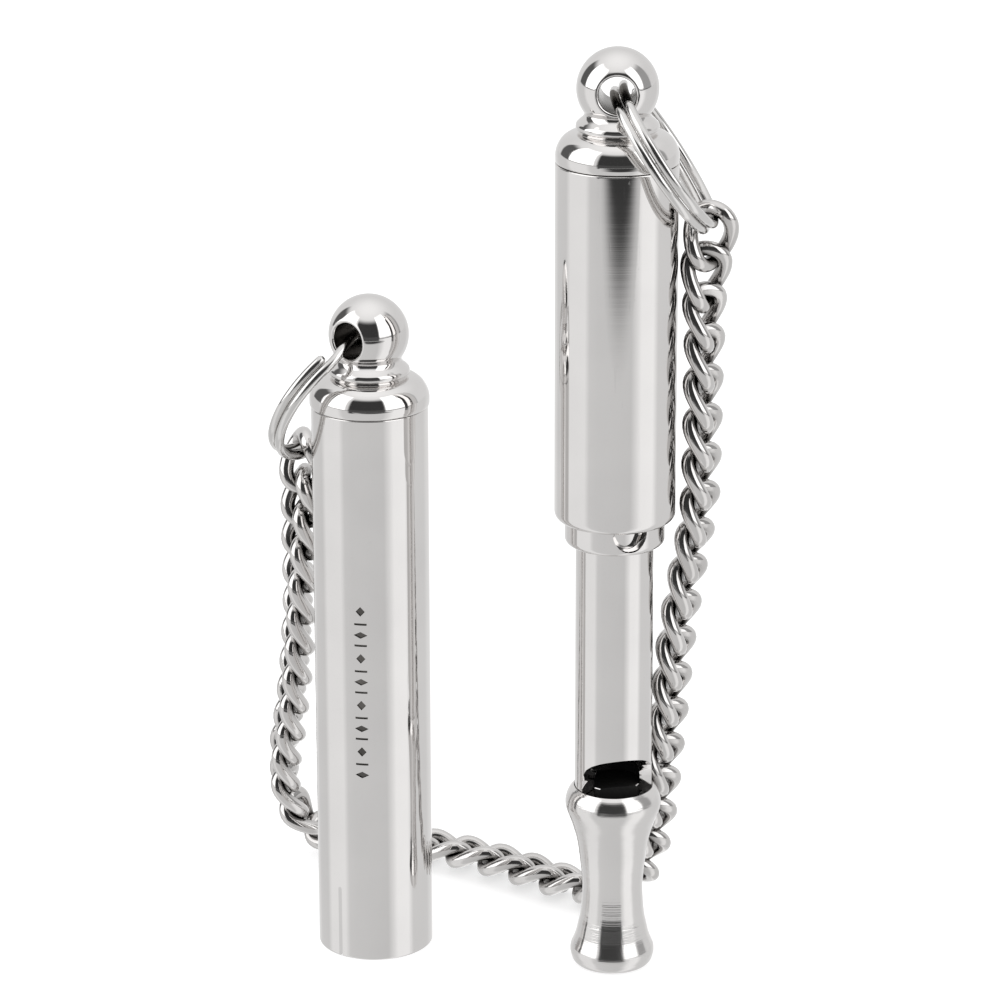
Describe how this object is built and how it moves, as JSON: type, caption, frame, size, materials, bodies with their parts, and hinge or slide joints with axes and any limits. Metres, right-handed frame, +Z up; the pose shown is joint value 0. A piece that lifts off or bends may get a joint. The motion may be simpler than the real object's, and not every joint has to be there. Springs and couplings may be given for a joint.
{
  "type": "training whistle",
  "caption": "Pitch-adjustable metal training whistle standing beside its tubular cap, joined by split rings and a curb chain.",
  "frame": {"origin": "centre of the footprint of the two pieces that stand, on the surface they stand on", "axes": "+Z up along both turned pieces, +X from the cap to the whistle, -Y the side the window faces"},
  "size_m": [0.0399, 0.0322, 0.0791],
  "materials": {
    "nickel_plate": "mirror-bright nickel plate on brass",
    "ring_steel": "bright plated spring steel wire",
    "brass": "plain turned brass",
    "leather_seal": "greased leather"
  },
  "bodies": {
    "whistle_body": {"mouthpiece": "nickel_plate", "windway_plug": "brass", "whistle_tube": "nickel_plate", "chain_link_01": "nickel_plate", "chain_link_02": "nickel_plate", "chain_link_03": "nickel_plate", "chain_link_04": "nickel_plate", "chain_link_05": "nickel_plate", "chain_link_06": "nickel_plate", "chain_link_07": "nickel_plate", "chain_link_08": "nickel_plate", "chain_link_09": "nickel_plate", "chain_link_10": "nickel_plate", "chain_link_11": "nickel_plate", "chain_link_12": "nickel_plate", "chain_link_13": "nickel_plate", "chain_link_14": "nickel_plate", "chain_link_15": "nickel_plate", "chain_link_16": "nickel_plate", "chain_link_17": "nickel_plate", "chain_link_18": "nickel_plate", "chain_link_19": "nickel_plate", "chain_link_20": "nickel_plate", "chain_link_21": "nickel_plate", "chain_link_22": "nickel_plate", "chain_link_23": "nickel_plate", "chain_link_24": "nickel_plate", "chain_link_25": "nickel_plate", "chain_link_26": "nickel_plate", "chain_link_27": "nickel_plate", "chain_link_28": "nickel_plate", "chain_link_29": "nickel_plate", "chain_link_30": "nickel_plate", "chain_link_31": "nickel_plate", "chain_link_32": "nickel_plate", "chain_link_33": "nickel_plate", "chain_link_34": "nickel_plate", "chain_link_35": "nickel_plate", "chain_link_36": "nickel_plate", "chain_link_37": "nickel_plate", "chain_link_38": "nickel_plate", "chain_link_39": "nickel_plate", "chain_link_40": "nickel_plate", "chain_link_41": "nickel_plate"},
    "lock": {"lock_ring": "nickel_plate"},
    "seal": {"piston_seal": "leather_seal"},
    "barrel": {"barrel_sleeve": "nickel_plate", "barrel_finial": "nickel_plate", "plunger_rod": "brass", "plunger_piston": "brass"},
    "whistle_ring": {"whistle_split_ring": "ring_steel"},
    "cap": {"cap_tube": "nickel_plate", "cap_finial": "nickel_plate"},
    "cap_ring": {"cap_split_ring": "ring_steel"}
  },
  "joints": [
    {"name": "lock_ring_turn", "type": "hinge", "parent": "whistle_body", "child": "lock", "pos_m": [0.01025, -0.00305, 0.04], "axis": [0, 0, 1], "range_deg": [-180, 0]},
    {"name": "seal_lift", "type": "slide", "parent": "whistle_body", "child": "seal", "axis": [0, 0, 1], "range_m": [0, 0.003]},
    {"name": "barrel_turn", "type": "hinge", "parent": "seal", "child": "barrel", "pos_m": [0.01025, -0.00305, 0.055], "axis": [0, 0, 1], "range_deg": [0, 1440], "deforming": ["chain_link_01", "chain_link_02", "chain_link_03", "chain_link_04", "chain_link_05", "chain_link_06", "chain_link_07", "chain_link_08", "chain_link_09", "chain_link_10", "chain_link_11", "chain_link_12", "chain_link_13", "chain_link_14", "chain_link_15", "chain_link_16", "chain_link_17", "chain_link_18", "chain_link_19", "chain_link_20", "chain_link_21", "chain_link_22", "chain_link_23", "chain_link_24", "chain_link_25", "chain_link_26", "chain_link_27", "chain_link_28", "chain_link_29", "chain_link_30", "chain_link_31", "chain_link_32", "chain_link_33", "chain_link_34", "chain_link_35", "chain_link_36", "chain_link_37", "chain_link_38", "chain_link_39", "chain_link_40", "chain_link_41"]},
    {"name": "whistle_ring_swing", "type": "hinge", "parent": "barrel", "child": "whistle_ring", "pos_m": [0.01025, -0.00305, 0.07578], "axis": [-0.0384, -0.9993, 0], "range_deg": [0, 25]},
    {"name": "cap_lift", "type": "slide", "parent": "whistle_body", "child": "cap", "axis": [0, 0, 1], "range_m": [0, 0.01]},
    {"name": "cap_ring_swing", "type": "hinge", "parent": "cap", "child": "cap_ring", "pos_m": [-0.00994, 0.00157, 0.05413], "axis": [0.6074, 0.7944, 0], "range_deg": [0, 25]}
  ],
  "couplings": [
    {"joint": "seal_lift", "follows": "barrel_turn", "m_per_rad": 0.00011936}
  ]
}
